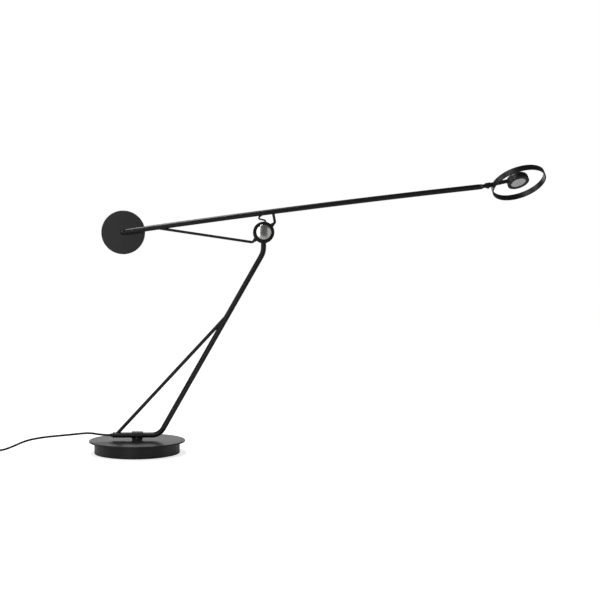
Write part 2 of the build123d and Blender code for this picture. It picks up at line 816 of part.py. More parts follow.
weight_front = leg_top.Y
weight_back = weight_front + weight_t
weight_place = (leg_top.X, leg_top.Z)
with BuildPart() as counterweight:
    with BuildSketch(upright(weight_back)):
        with Locations(weight_place):
            Circle(weight_d / 2)
    extrude(amount=weight_t)
    fillet(counterweight.edges().filter_by(GeomType.CIRCLE), radius=weight_round)
    with BuildSketch(upright(weight_front + weight_socket + seat_fit)):
        with Locations(weight_place):
            Circle(tube_r + seat_fit / 2)
    extrude(amount=weight_t, mode=Mode.SUBTRACT)
    with BuildSketch(upright(weight_back)):
        with Locations(weight_place):
            Circle(weight_screw_d / 2 + seat_fit)
    extrude(amount=weight_t, mode=Mode.SUBTRACT)
    with BuildSketch(upright(weight_back)):
        with Locations(weight_place):
            Circle(weight_screw_head_d / 2 + seat_fit)
    extrude(amount=weight_screw_head_h, taper=42, mode=Mode.SUBTRACT)

with BuildPart() as arm_plug:
    with BuildSketch(upright(leg_end.Y)):
        with Locations(weight_place):
            Circle(tube_bore / 2 - seat_fit)
            Circle(weight_screw_d / 2 + seat_fit, mode=Mode.SUBTRACT)
    extrude(amount=weight_socket)

with BuildPart() as counterweight_screw:
    with BuildSketch(upright(weight_back)):
        with Locations(weight_place):
            Circle(weight_screw_head_d / 2)
    extrude(amount=weight_screw_head_h, taper=42)
    with BuildSketch(upright(weight_back - weight_screw_head_h / 2)):
        with Locations(weight_place):
            Circle(weight_screw_d / 2)
    extrude(amount=weight_t - weight_screw_head_h / 2 - 0.5)
    with BuildSketch(upright(weight_back)):
        with Locations(weight_place):
            RegularPolygon(radius=1.4, side_count=6)
    extrude(amount=weight_screw_head_h * 0.7, mode=Mode.SUBTRACT)

# ---------------------------------------------------------------- tilt joint

with BuildPart() as arm_end:
    with BuildSketch(arm_end_plane):
        with BuildLine():
            Line((-arm_tip_gap, 0), (-arm_tip_gap, tube_r))
            Line((-arm_tip_gap, tube_r), (0, tube_r))
            ThreePointArc((0, tube_r), (tube_r * math.sqrt(0.5), tube_r * math.sqrt(0.5)), (tube_r, 0))
            Line((tube_r, 0), (-arm_tip_gap, 0))
        make_face()
    revolve(axis=Axis(pivot_point, arm_direction(0)))
    with BuildSketch(across(arm_end_plane, -arm_tip_gap - arm_end_spigot)):
        Circle(tube_bore / 2 - 2 * seat_fit)
    extrude(amount=arm_end_spigot)
    with BuildSketch(arm_end_plane):
        with Locations(((tube_r - slot_depth) / 2 + 1, 0)):
            Rectangle(tube_r + slot_depth + 2, 3 * tube_d)
    extrude(amount=slot_w / 2, both=True, mode=Mode.SUBTRACT)
    with BuildSketch(arm_end_plane):
        Circle(pin_d / 2 + seat_fit / 2)
    extrude(amount=tube_d, both=True, mode=Mode.SUBTRACT)
    with BuildSketch(across(arm_end_plane, -arm_tip_gap - arm_end_spigot)):
        Circle(inner_lead_d / 2 + seat_fit)
    extrude(amount=arm_end_spigot + arm_tip_gap, mode=Mode.SUBTRACT)

with BuildPart() as tilt_pin:
    with BuildSketch(arm_end_plane):
        Circle(pin_d / 2)
    extrude(amount=pin_length / 2, both=True)

with BuildPart() as tilt_knuckle:
    with BuildSketch(head_side):
        Circle(tongue_h / 2)
        with Locations((tongue_length / 2, 0)):
            Rectangle(tongue_length, tongue_h)
    extrude(amount=tongue_w / 2, both=True)
    with BuildSketch(across(head_side, tongue_length)):
        Circle(tongue_h / 2)
    extrude(amount=neck_end - tongue_length)
    with BuildSketch(across(head_side, neck_end)):
        Circle(spindle_d / 2)
    extrude(amount=spindle_end - neck_end)
    with BuildSketch(across(head_side, groove_start)):
        Circle(spindle_d)
        Circle(groove_d / 2, mode=Mode.SUBTRACT)
    extrude(amount=groove_w, mode=Mode.SUBTRACT)
    with BuildSketch(head_side):
        Circle(pin_d / 2 + run_fit)
    extrude(amount=tube_d, both=True, mode=Mode.SUBTRACT)

# ---------------------------------------------------------------- head

collar_counterbore = collar_end - head_rod_seat
with BuildPart() as head_collar:
    with BuildSketch(across(head_plane, collar_start)):
        Circle(collar_d / 2)
    extrude(amount=collar_end - collar_start)
    chamfer(head_collar.edges().filter_by(GeomType.CIRCLE), length=0.6)
    with BuildSketch(across(head_plane, collar_start)):
        Circle(spindle_d / 2 + run_fit)
    extrude(amount=collar_end - collar_start, mode=Mode.SUBTRACT)
    with BuildSketch(across(head_plane, collar_counterbore)):
        Circle(head_rod_d / 2 + seat_fit / 2)
    extrude(amount=head_rod_seat, mode=Mode.SUBTRACT)
    with BuildSketch(head_plane):
        with Locations((collar_screw_at, 0)):
            Circle(collar_screw_d / 2 + seat_fit)
    extrude(amount=-collar_d, mode=Mode.SUBTRACT)

with BuildPart() as collar_screw:
    with BuildSketch(head_plane.offset(-groove_d / 2 - 2 * seat_fit)):
        with Locations((collar_screw_at, 0)):
            Circle(collar_screw_d / 2)
    extrude(amount=-(collar_d - groove_d) / 2)
    with BuildSketch(head_plane.offset(-collar_d / 2)):
        with Locations((collar_screw_at, 0)):
            Circle(collar_screw_head_d / 2)
    extrude(amount=-(collar_screw_reach - collar_d / 2))
    fillet(collar_screw.faces().sort_by(Axis(pivot_point, head_plane.z_dir))[0].edges(), radius=0.5)

head_rod_end = lamp_at - lamp_d / 2 + lamp_wall
with BuildPart() as head_rod:
    with BuildSketch(across(head_plane, collar_counterbore + seat_fit)):
        Circle(head_rod_d / 2)
        Circle(head_rod_bore / 2, mode=Mode.SUBTRACT)
    extrude(amount=head_rod_end - collar_counterbore - seat_fit)

# The ring hangs under the rod, which lies in a notch in its upper edge.
with BuildPart() as head_ring:
    with BuildSketch(head_plane.offset(ring_z - ring_h / 2)):
        with Locations((ring_at, 0)):
            Circle(ring_d / 2)
            Circle(ring_d / 2 - ring_wall, mode=Mode.SUBTRACT)
    extrude(amount=ring_h)
    fillet(head_ring.edges().filter_by(GeomType.CIRCLE), radius=ring_round)
    with BuildSketch(across(head_plane, ring_at - ring_d / 2 - 1)):
        Circle(head_rod_d / 2 + seat_fit / 2)
    extrude(amount=ring_d / 2, mode=Mode.SUBTRACT)

with BuildPart() as led_housing:
    with BuildSketch(head_plane.offset(-lamp_down)):
        with Locations((lamp_at, 0)):
            Circle(lamp_d / 2)
    extrude(amount=lamp_down + lamp_up)
    fillet(
        led_housing.edges().filter_by(GeomType.CIRCLE).sort_by(Axis(pivot_point, head_plane.z_dir))[-1],
        radius=lamp_round,
    )
    with BuildSketch(head_plane.offset(-lamp_down)):
        with Locations((lamp_at, 0)):
            Circle(lamp_d / 2 - lamp_wall)
    extrude(amount=lamp_down + lamp_up - lamp_top, mode=Mode.SUBTRACT)
    fillet(
        led_housing.edges()
        .filter_by(lambda e: e.geom_type == GeomType.CIRCLE and abs(e.radius - lamp_bore / 2) < 0.01)
        .sort_by(Axis(pivot_point, head_plane.z_dir))[-1],
        radius=lamp_round - lamp_wall,
    )
    with BuildSketch(across(head_plane, lamp_at - lamp_d / 2 - 1)):
        Circle(head_rod_d / 2 + seat_fit / 2)
    extrude(amount=lamp_wall + 2, mode=Mode.SUBTRACT)

sink_top = lamp_up - lamp_top - seat_fit
sink_d = lamp_d - 2 * lamp_wall - 4 * seat_fit
with BuildPart() as heat_sink:
    with BuildSketch(head_plane.offset(sink_top - sink_t)):
        with Locations((lamp_at, 0)):
            Circle(sink_d / 2)
    extrude(amount=sink_t)
    fillet(
        heat_sink.edges().filter_by(GeomType.CIRCLE).sort_by(Axis(pivot_point, head_plane.z_dir))[-1],
        radius=lamp_round - lamp_wall,
    )

board_top = sink_top - sink_t - seat_fit / 2
with BuildPart() as led_board:
    with BuildSketch(head_plane.offset(board_top - board_t)):
        with Locations((lamp_at, 0)):
            Circle(board_d / 2)
    extrude(amount=board_t)

with BuildPart() as led_chips:
    with BuildSketch(head_plane.offset(board_top - board_t - chip_t)):
        with Locations((lamp_at, 0)):
            Rectangle(chip_w, chip_w)
            with PolarLocations(chip_pcd / 2, chip_count):
                Rectangle(chip_w, chip_w)
    extrude(amount=chip_t)

with BuildPart() as bezel:
    with BuildSketch(head_plane.offset(-lamp_down)):
        with Locations((lamp_at, 0)):
            Circle(lamp_d / 2 - lamp_wall - seat_fit)
            Circle(window_d / 2, mode=Mode.SUBTRACT)
    extrude(amount=bezel_h)
    with BuildSketch(head_plane.offset(-lamp_down + bezel_lip)):
        with Locations((lamp_at, 0)):
            Circle(diffuser_d / 2 + seat_fit)
    extrude(amount=bezel_h, mode=Mode.SUBTRACT)

with BuildPart() as diffuser:
    with BuildSketch(head_plane.offset(-lamp_down + bezel_lip)):
        with Locations((lamp_at, 0)):
            Circle(diffuser_d / 2)
    extrude(amount=diffuser_t)

with BuildPart() as head_lead:
    with BuildSketch(across(head_plane, collar_end)):
        with Locations((0, -(head_rod_bore - inner_lead_d) / 2 + seat_fit)):
            Circle(inner_lead_d / 2)
    extrude(amount=head_rod_end - collar_end)

# ---------------------------------------------------------------- cord

# The cord leaves the gland level, lifts a little, and comes down to the table past the base.
coil_start_y = coil_y + coil_radius
cord_points = (
    (gland_tip_x - seat_fit, 0.0, stem_axis_z),
    (-70.0, 0.0, 34.6),
    (-90.0, 1.0, 38.2),
    (-118.0, 3.0, 35.0),
    (-150.0, 6.0, 31.6),
    (-182.0, 10.0, 28.0),
    (-212.0, 14.0, 21.5),
    (-236.0, 17.5, 10.5),
    (-258.0, 20.5, cord_r),
    (-280.0, coil_start_y, cord_r),
    (coil_x + cord_d + seat_fit, coil_start_y, cord_r),
)


def bend_radii(points):
    """The largest arc that the two runs at each corner leave room for, by the 0.45 rule."""
    radii = []
    for before, corner, after in zip(points, points[1:], points[2:]):
        run_in = Vector(*corner) - Vector(*before)
        run_out = Vector(*after) - Vector(*corner)
        turn = math.radians(run_in.get_angle(run_out))
        radii.append(0.45 * min(run_in.length, run_out.length) / math.tan(turn / 2))
    return radii


def report_tube(name, path, diameter, piece):
    """Prints a tube's length, and its volume beside its section times its length."""
    expected = math.pi * diameter**2 / 4 * path.length
    print(f"{name}: length {path.length:.1f}, volume {piece.volume:.1f} of {expected:.1f}")


cord_radii = bend_radii(cord_points)
print("cord radii:", [round(r, 1) for r in cord_radii])
with BuildPart() as cord_lead:
    with BuildLine() as cord_line:
        FilletPolyline(*cord_points, radius=cord_radii)
    with BuildSketch(Plane(origin=cord_line.line @ 0, z_dir=cord_line.line % 0)):
        Circle(cord_r)
    sweep(path=cord_line.line)
report_tube("cord_lead", cord_line.wire(), cord_d, cord_lead.part)

# The coil: four layers that spiral in and out at one steady pitch, each climb in the half turn
# where the spiral reverses. A station is a point and a heading at each quarter turn.


def coil_stations():
    stations = []
    radius = coil_radius
    level = 0
    angle = math.pi / 2
    for layer, quarters in enumerate(coil_quarters):
        step = (coil_pitch / 4) * (-1 if layer % 2 == 0 else 1)
        for quarter in range(quarters):
            slope = step / (math.pi / 2)
            stations.append(coil_station(radius, slope, angle, level * coil_climb, 0.0))
            radius += step
            angle += math.pi / 2
        if layer + 1 < len(coil_quarters):
            mid_slope = 2 * coil_climb / math.pi
            stations.append(coil_station(radius, 0.0, angle, level * coil_climb, 0.0))
            stations.append(
                coil_station(radius, 0.0, angle + math.pi / 2, (level + 0.5) * coil_climb, mid_slope)
            )
            angle += math.pi
            level += 1
    stations.append(coil_station(radius, 0.0, angle, level * coil_climb, 0.0))
    return stations


def coil_station(radius, slope, angle, height, climb):
    """A point of the coil and its heading, from the change of radius and height per radian."""
    outward = Vector(math.cos(angle), math.sin(angle), 0)
    forward = Vector(-math.sin(angle), math.cos(angle), 0)
    point = Vector(coil_x, coil_y, cord_r + height) + outward * radius
    heading = (outward * slope + forward * radius + Vector(0, 0, climb)).normalized()
    return point, heading


def biarc(start, start_heading, end, end_heading):
    """Two arcs that join two stations: three points for each, with one heading where they meet."""
    span = end - start
    both = start_heading + end_heading
    a = 2 * (1 - start_heading.dot(end_heading))
    b = 2 * span.dot(both)
    reach = (-b + math.sqrt(b * b + 4 * a * span.dot(span))) / (2 * a)
    joint = (start + start_heading * reach + end - end_heading * reach) * 0.5
    joint_heading = (end - end_heading * reach - start - start_heading * reach).normalized()
    return (
        (start, arc_middle(start, start_heading, joint), joint),
        (joint, arc_middle(joint, joint_heading, end), end),
    )


def arc_middle(start, heading, end):
    """The middle of the arc that leaves start along heading and reaches end."""
    chord_vector = end - start
    along = chord_vector.normalized()
    half_angle = math.acos(max(-1.0, min(1.0, along.dot(heading))))
    side = (heading - along * along.dot(heading)).normalized()
    rise = chord_vector.length / 2 * math.tan(half_angle / 2)
    return start + chord_vector * 0.5 + side * rise


stations = coil_stations()
coil_begin = stations[0][0] - stations[0][1] * cord_d
coil_finish = stations[-1][0] + stations[-1][1] * cord_d
with BuildPart() as cord_coil:
    with BuildLine() as coil_line:
        Line(coil_begin, stations[0][0])
        for (here, heading), (there, next_heading) in zip(stations, stations[1:]):
            for arc in biarc(here, heading, there, next_heading):
                ThreePointArc(*arc)
        Line(stations[-1][0], coil_finish)
    with BuildSketch(Plane(origin=coil_line.line @ 0, z_dir=coil_line.line % 0)):
        Circle(cord_r)
    sweep(path=coil_line.line)
report_tube("cord_coil", coil_line.wire(), cord_d, cord_coil.part)

# The least gap between turns, on points at about one a millimetre.
coil_wire = coil_line.wire()
coil_samples = [coil_wire @ (i / 1700) for i in range(1701)]
sample_step = coil_wire.length / 1700
apart = int(6 * cord_d / sample_step)
least = min(
    (coil_samples[i] - coil_samples[j]).length
    for i in range(0, len(coil_samples), 2)
    for j in range(i + apart, len(coil_samples), 2)
)
print(f"cord_coil: least gap to itself {least - cord_d:.2f}")

tail_start = coil_finish - Vector(seat_fit, 0, 0)
tail_end = coil_finish - Vector(tail_length, 0, 0)
with BuildPart() as cord_tail:
    with BuildLine() as tail_line:
        Line(tail_start, tail_end)
    with BuildSketch(Plane(origin=tail_line.line @ 0, z_dir=tail_line.line % 0)):
        Circle(cord_r)
    sweep(path=tail_line.line)

# ---------------------------------------------------------------- plug-in driver

driver_plane = Plane(origin=tail_end, x_dir=(0, -1, 0), z_dir=(-1, 0, 0))
driver_h = 2 * tail_end.Z
with BuildPart() as driver_relief:
    with BuildSketch(driver_plane):
        Circle(cord_r + 0.5)
    with BuildSketch(driver_plane.offset(driver_relief_length)):
        Circle(driver_relief_d / 2)
    loft()

shell_plane = driver_plane.offset(driver_relief_length)
shell_depth = driver_width - driver_lid_t
# The shell is a box that is open towards the pins; the lid with the pins closes it.
with BuildPart() as driver_shell:
    with BuildSketch(shell_plane):
        with Locations((driver_lid_t / 2, 0)):
            Rectangle(shell_depth, driver_h)
    extrude(amount=driver_length)
    fillet(driver_shell.edges().filter_by(Axis.Y), radius=driver_round)
    fillet(driver_shell.faces().sort_by(Axis.Y)[-1].edges(), radius=driver_round / 2)
    with BuildSketch(shell_plane.offset(driver_wall)):
        with Locations((driver_lid_t / 2 + driver_wall, 0)):
            Rectangle(shell_depth, driver_h - 2 * driver_wall)
    extrude(amount=driver_length - 2 * driver_wall, mode=Mode.SUBTRACT)

driver_box = driver_shell.part.bounding_box()
lid_plane = Plane.XZ.offset(-driver_box.min.Y)
with BuildPart() as driver_lid:
    with BuildSketch(lid_plane):
        with Locations((driver_box.center().X, driver_box.center().Z)):
            RectangleRounded(driver_length, driver_h, driver_round)
    extrude(amount=driver_lid_t)
    with BuildSketch(lid_plane):
        with Locations((driver_box.center().X, driver_box.center().Z)):
            with GridLocations(driver_pin_pitch, 1, 2, 1):
                Circle(driver_pin_d / 2 + seat_fit / 2)
    extrude(amount=driver_lid_t, mode=Mode.SUBTRACT)

with BuildPart() as driver_pins:
    with BuildSketch(lid_plane):
        with Locations((driver_box.center().X, driver_box.center().Z)):
            with GridLocations(driver_pin_pitch, 1, 2, 1):
                Circle(driver_pin_d / 2)
    extrude(amount=driver_lid_t + driver_pin_length)
    fillet(driver_pins.edges().filter_by(GeomType.CIRCLE).group_by(Axis.Y)[0], radius=1.5)

with BuildPart() as driver_board:
    with BuildSketch(Plane.XY.offset(driver_box.center().Z - driver_board_t / 2)):
        with Locations((driver_box.center().X, driver_box.center().Y)):
            Rectangle(
                driver_length - 2 * driver_wall - 2 * seat_fit,
                shell_depth - 2 * driver_wall - 4,
            )
    extrude(amount=driver_board_t)
    with BuildSketch(Plane.XY.offset(driver_box.center().Z + driver_board_t / 2)):
        with Locations((driver_box.center().X - 12, driver_box.center().Y)):
            Rectangle(18, 16)
    extrude(amount=9)
    with BuildSketch(Plane.XY.offset(driver_box.center().Z + driver_board_t / 2)):
        with Locations((driver_box.center().X + 12, driver_box.center().Y + 3)):
            Circle(5)
    extrude(amount=11)

# ---------------------------------------------------------------- files

pieces = {
    "foot_pad": foot_pad,
    "base_weight": base_weight,
    "base_plate": base_plate,
    "plate_screws": plate_screws,
    "swivel_bush": swivel_bush,
    "thrust_washer": thrust_washer,
    "tee_fitting": tee_fitting,
    "tee_grub_screw": tee_grub_screw,
    "swivel_washer": swivel_washer,
    "swivel_screw": swivel_screw,
    "stem_tube": stem_tube,
    "lower_brace": lower_brace,
    "tube_gland": tube_gland,
    "stem_lead": stem_lead,
    "stem_hub": stem_hub,
    "friction_disc": friction_disc,
    "hub_axle": hub_axle,
    "hub_lead": hub_lead,
    "spring_washers": spring_washers,
    "arm_hub": arm_hub,
    "hub_bush": hub_bush,
    "clamp_knob": clamp_knob,
    "knob_insert": knob_insert,
    "arm_tube": arm_tube,
    "bridge_lead": bridge_lead,
    "short_strut": short_strut,
    "long_brace": long_brace,
    "arm_lead": arm_lead,
    "counterweight": counterweight,
    "arm_plug": arm_plug,
    "counterweight_screw": counterweight_screw,
    "arm_end": arm_end,
    "tilt_pin": tilt_pin,
    "tilt_knuckle": tilt_knuckle,
    "head_collar": head_collar,
    "collar_screw": collar_screw,
    "head_rod": head_rod,
    "head_ring": head_ring,
    "led_housing": led_housing,
    "heat_sink": heat_sink,
    "led_board": led_board,
    "led_chips": led_chips,
    "bezel": bezel,
    "diffuser": diffuser,
    "head_lead": head_lead,
    "cord_lead": cord_lead,
    "cord_coil": cord_coil,
    "cord_tail": cord_tail,
    "driver_relief": driver_relief,
    "driver_shell": driver_shell,
    "driver_lid": driver_lid,
    "driver_pins": driver_pins,
    "driver_board": driver_board,
}

os.makedirs("parts", exist_ok=True)
for piece_name, piece in pieces.items():
    piece.part.label = piece_name
    export_step(piece.part, f"parts/{piece_name}.step")
print(len(pieces), "pieces")
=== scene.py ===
# %% [markdown]
# # A counterweight balance desk lamp
#
# The lamp is a black powder-coated balance: a heavy round base, a bent stem, a long thin arm with
# a disc at one end and a small LED head in a ring at the other, and one bright turned knob at the
# hub. Its solids come from the CAD model, so this script gives them their finishes, adds what CAD
# leaves out, such as weld seams, grommets and the braided cord, and sets up camera and light.
#
# Everything is in metres, in the CAD model's own frame: +Z is up, +X points to the head, and the
# front, with the knob, faces -Y.

# %% Load the CAD model
import json
import math

import bpy
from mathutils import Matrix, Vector


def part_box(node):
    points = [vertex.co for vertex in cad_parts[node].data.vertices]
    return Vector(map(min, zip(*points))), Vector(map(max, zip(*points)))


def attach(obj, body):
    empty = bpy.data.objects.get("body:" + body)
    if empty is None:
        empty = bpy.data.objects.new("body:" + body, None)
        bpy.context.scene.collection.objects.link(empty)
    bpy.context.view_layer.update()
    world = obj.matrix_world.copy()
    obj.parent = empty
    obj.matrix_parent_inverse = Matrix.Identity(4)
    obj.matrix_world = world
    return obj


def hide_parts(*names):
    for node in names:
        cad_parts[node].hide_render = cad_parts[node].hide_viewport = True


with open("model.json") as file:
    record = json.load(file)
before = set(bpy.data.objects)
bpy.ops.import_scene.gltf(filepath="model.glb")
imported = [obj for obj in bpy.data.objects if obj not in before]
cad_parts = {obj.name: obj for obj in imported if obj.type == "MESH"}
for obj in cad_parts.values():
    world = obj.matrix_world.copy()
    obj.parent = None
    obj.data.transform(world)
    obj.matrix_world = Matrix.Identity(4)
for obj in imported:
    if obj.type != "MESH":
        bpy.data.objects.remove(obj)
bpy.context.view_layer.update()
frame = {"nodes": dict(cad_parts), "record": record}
nodes = frame["nodes"]
MM = 0.001
print("CAD nodes:", len(nodes))

# %% [markdown]
# ## Camera
#
# A product photographer stands back and uses a long lens, so that round things stay round. Here
# the camera is level, two metres in front of the lamp and three quarters as high as the hub.
# Because it isn't tilted, upright lines stay upright, and a small lens shift frames the lamp, as a
# view camera would.

# %% The camera
CAMERA_PLACE = Vector((0.190, -2.0, 0.310))
LENS_MM = 63.83
SENSOR_MM = 36.0
PICTURE_PX = 600
AHEAD_PX = (238.3, 288.2)  # where the point straight ahead lands, from the picture's top left


def make_camera():
    """A level camera that looks along +Y, with its lens shifted."""
    data = bpy.data.cameras.new("photo_camera")
    data.lens = LENS_MM
    data.sensor_width = SENSOR_MM
    data.shift_x = (PICTURE_PX / 2 - AHEAD_PX[0]) / PICTURE_PX
    data.shift_y = (AHEAD_PX[1] - PICTURE_PX / 2) / PICTURE_PX
    camera = bpy.data.objects.new("photo_camera", data)
    camera.location = CAMERA_PLACE
    camera.rotation_euler = (math.radians(90), 0, 0)
    bpy.context.scene.collection.objects.link(camera)
    bpy.context.scene.camera = camera
    return camera


camera = make_camera()
print("lens shift:", round(camera.data.shift_x, 4), round(camera.data.shift_y, 4))

# %% [markdown]
# ## Small helpers
#
# Most of Blender's operators act on whatever is selected. Two helpers keep that under control:
# one makes a single object the only selected one, and one finishes a piece, so that its place is
# in its mesh and the object itself sits at the origin, as the CAD pieces do. A third one measures.


# %% Selecting, finishing and measuring
def pick(piece):
    """Makes one object the only selected and active one."""
    if bpy.context.mode != "OBJECT":
        bpy.ops.object.mode_set(mode="OBJECT")
    bpy.ops.object.select_all(action="DESELECT")
    piece.select_set(True)
    bpy.context.view_layer.objects.active = piece
    return piece


def apply_all(piece):
    """Applies every modifier, then the object's place, turn and size."""
    pick(piece)
    for modifier in list(piece.modifiers):
        bpy.ops.object.modifier_apply(modifier=modifier.name)
    bpy.ops.object.transform_apply(location=True, rotation=True, scale=True)
    return piece


def middle(node):
    """The middle of a CAD node's box."""
    low, high = (Vector(corner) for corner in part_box(node))
    return (low + high) / 2


# %% [markdown]
# ## The cord
#
# The lamp has a thin braided low-voltage cord. It leaves the stem's back end level, lies over the
# edge of the base plate in a gentle hump and comes down to the table. What the picture doesn't
# show is put away as a neat coil with the plug-in driver beside it.
#
# A NURBS curve is the right tool for a cord: it runs smoothly past its control points and never
# kinks. The first points are listed one by one. The coil's points come from a loop, sixteen to a
# turn: four layers that spiral in and out again, with each climb spread over a half turn.

# %% The cord's route
CORD_D = 3.8 * MM
COIL_CENTRE = Vector((-305.0, -7.25, 0.0)) * MM
COIL_RADIUS = 28.25 * MM
COIL_PITCH = 5.0 * MM
COIL_CLIMB = 4.6 * MM
COIL_TURNS = (2.5, 2.5, 2.5, 3.0)
POINTS_PER_TURN = 16
TAIL_LENGTH = 13.0 * MM

lead_route = [
    # control points in mm, from the stem's end to the start of the coil
    (-52.1, 0.0, 34.0),
    (-70.0, 0.0, 34.6),
    (-90.0, 1.0, 38.2),
    (-118.0, 3.0, 35.0),
    (-150.0, 6.0, 31.6),
    (-182.0, 10.0, 28.0),
    (-212.0, 14.0, 21.5),
    (-236.0, 17.5, 10.5),
    (-258.0, 20.5, 1.9),
    (-280.0, 21.0, 1.9),
    (-301.2, 21.0, 1.9),
]


def coil_point(radius, angle, height):
    """A control point of the coil. Height counts from the table to the cord's underside."""
    flat = Vector((math.cos(angle), math.sin(angle), 0)) * radius
    return COIL_CENTRE + flat + Vector((0, 0, height + CORD_D / 2))


def coil_route():
    """The coil's points: spiral layers, joined by half turns that climb with an even swing."""
    points = []
    radius, angle, height = COIL_RADIUS, math.pi / 2, 0.0
    step = 2 * math.pi / POINTS_PER_TURN
    for layer, turns in enumerate(COIL_TURNS):
        inward = -1 if layer % 2 == 0 else 1
        for _ in range(round(turns * POINTS_PER_TURN)):
            points.append(coil_point(radius, angle, height))
            angle += step
            radius += inward * COIL_PITCH / POINTS_PER_TURN
        if layer + 1 < len(COIL_TURNS):
            for i in range(POINTS_PER_TURN // 2):
                share = i / (POINTS_PER_TURN // 2)
                swing = share * share * (3 - 2 * share)
                points.append(coil_point(radius, angle, height + swing * COIL_CLIMB))
                angle += step
            height += COIL_CLIMB
    points.append(coil_point(radius, angle, height))
    return points


coil_points = coil_route()
tail_end = coil_points[-1] + Vector((-CORD_D - TAIL_LENGTH, 0, 0))
route = [Vector(p) * MM for p in lead_route] + coil_points + [tail_end]
print("cord control points:", len(route))


# %% The cord's curve
def nurbs_curve(name, points, diameter):
    """A smooth round cord past the points. Its thickness is the points' own radius."""
    data = bpy.data.curves.new(name, "CURVE")
    data.dimensions = "3D"
    data.resolution_u = 6
    data.bevel_depth = 1.0
    data.bevel_resolution = 4
    data.use_fill_caps = True
    spline = data.splines.new("NURBS")
    spline.points.add(len(points) - 1)
    for spot, place in zip(spline.points, points):
        spot.co = (*place, 1)
        spot.radius = diameter / 2
    spline.order_u = 3
    spline.use_endpoint_u = True
    curve = bpy.data.objects.new(name, data)
    bpy.context.scene.collection.objects.link(curve)
    return curve


supply_cord = nurbs_curve("supply_cord", route, CORD_D)
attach(supply_cord, "stem")
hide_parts("cord_lead", "cord_coil", "cord_tail")

# %% [markdown]
# ## Weld seams and grommets
#
# The rods are welded to the tubes with a thin bead all the way round. Where a round rod meets a
# round tube the joint is saddle-shaped, and the flatter the angle the longer it gets, so a plain
# ring wouldn't lie on it. The helper below walks round the rod, looks from each place along the rod
# for the tube's surface, and lays a thin round curve through the points it finds. A small ripple in
# its thickness is what the welder's steps leave behind. The same walk seats the two rubber
# grommets where the lead goes into the arm and the hub.

# %% A bead where a rod meets a tube
BEAD_PLACES = 96
WELD_STEPS = 16


def bead(name, body, rod, rod_d, tube, thick, ripple=0.0):
    """A closed bead round a rod, on a tube's surface, from sizes in mm.

    The rod is its two ends, the second one inside the tube. The tube is a point on its axis, its
    direction and its diameter.
    """
    start, end = (Vector(p) * MM for p in rod)
    on_axis, direction, tube_d = tube
    centre, along = Vector(on_axis) * MM, Vector(direction).normalized()
    ahead = (end - start).normalized()
    side = ahead.orthogonal().normalized()
    other = ahead.cross(side)
    across = ahead - along * ahead.dot(along)
    places = []
    for i in range(BEAD_PLACES):
        turn = math.tau * i / BEAD_PLACES
        place = start + (side * math.cos(turn) + other * math.sin(turn)) * rod_d * MM / 2
        gap = place - centre
        gap -= along * gap.dot(along)
        a, b = across.dot(across), gap.dot(across)
        c = gap.dot(gap) - (tube_d * MM / 2) ** 2
        places.append(place + ahead * (-b - math.sqrt(b * b - a * c)) / a)
    data = bpy.data.curves.new(name, "CURVE")
    data.dimensions = "3D"
    data.bevel_depth = thick * MM / 2
    data.bevel_resolution = 3
    line = data.splines.new("POLY")
    line.points.add(BEAD_PLACES - 1)
    for i, (spot, place) in enumerate(zip(line.points, places)):
        spot.co = (*place, 1)
        spot.radius = 1 + ripple * math.sin(WELD_STEPS * math.tau * i / BEAD_PLACES)
    line.use_cyclic_u = True
    piece = bpy.data.objects.new(name, data)
    bpy.context.scene.collection.objects.link(piece)
    pick(piece)
    bpy.ops.object.convert(target="MESH")
    piece = bpy.context.object
    bpy.ops.object.shade_smooth()
    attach(piece, body)
    return piece


# %% The beads and grommets
TUBE_D = 10.0
HUB_D = 40.0
BRACE_D = 6.5
ARM_ROD_D = 5.0
WELD_D = 1.0
WELD_RIPPLE = 0.12
GROMMET_HOLE_D = 3.9
GROMMET_D = 1.2
ARM_Y = -12.1
ARM_LINE_AT_HUB = (0.9918, 0, 0.1283)
ARM_LINE_AT_DISC = (0.9902, 0, 0.1394)
BRACE_MIDDLE = (60, 0, 141.6)

foot = ((0, 0, 34.0), (1, 0, 0), TUBE_D)
stem = ((170.7, 0, 260.5), (195.6, 0, 343.7), TUBE_D)
arm_at_strut = ((255.1, ARM_Y, 453.3), ARM_LINE_AT_HUB, TUBE_D)
arm_at_long_brace = ((32.8, ARM_Y, 423.3), ARM_LINE_AT_DISC, TUBE_D)
arm_at_lead = ((238.0, ARM_Y, 451.1), ARM_LINE_AT_HUB, TUBE_D)
hub = ((237.4, ARM_Y, 414.3), (0, 1, 0), HUB_D)
strut_ends = ((258.5, ARM_Y, 432.7), (255.1, ARM_Y, 450.7))
long_brace_ends = ((216.3, ARM_Y, 395.9), (32.8, ARM_Y, 423.3))

added = {}
welds = [
    # name, body, the rod's two ends and its diameter, the tube
    ("brace_foot_weld", "stem", (BRACE_MIDDLE, (-40.2, 0, 34.0)), BRACE_D, foot),
    ("brace_top_weld", "stem", (BRACE_MIDDLE, (170.7, 0, 260.5)), BRACE_D, stem),
    ("strut_weld", "arm", strut_ends, ARM_ROD_D, arm_at_strut),
    ("long_brace_weld", "arm", long_brace_ends, ARM_ROD_D, arm_at_long_brace),
]
for name, body, rod, rod_d, tube in welds:
    added[name] = bead(name, body, rod, rod_d, tube, WELD_D, WELD_RIPPLE)
grommets = [
    # name, the lead's two ends, what it goes into
    ("arm_grommet", ((226.2, ARM_Y, 440.1), (238.0, ARM_Y, 451.1)), arm_at_lead),
    ("hub_grommet", ((240.2, ARM_Y, 436.9), (242.0, ARM_Y, 426.5)), hub),
]
for name, lead, tube in grommets:
    added[name] = bead(name, "arm", lead, GROMMET_HOLE_D, tube, GROMMET_D)
print("beads and grommets:", len(added))

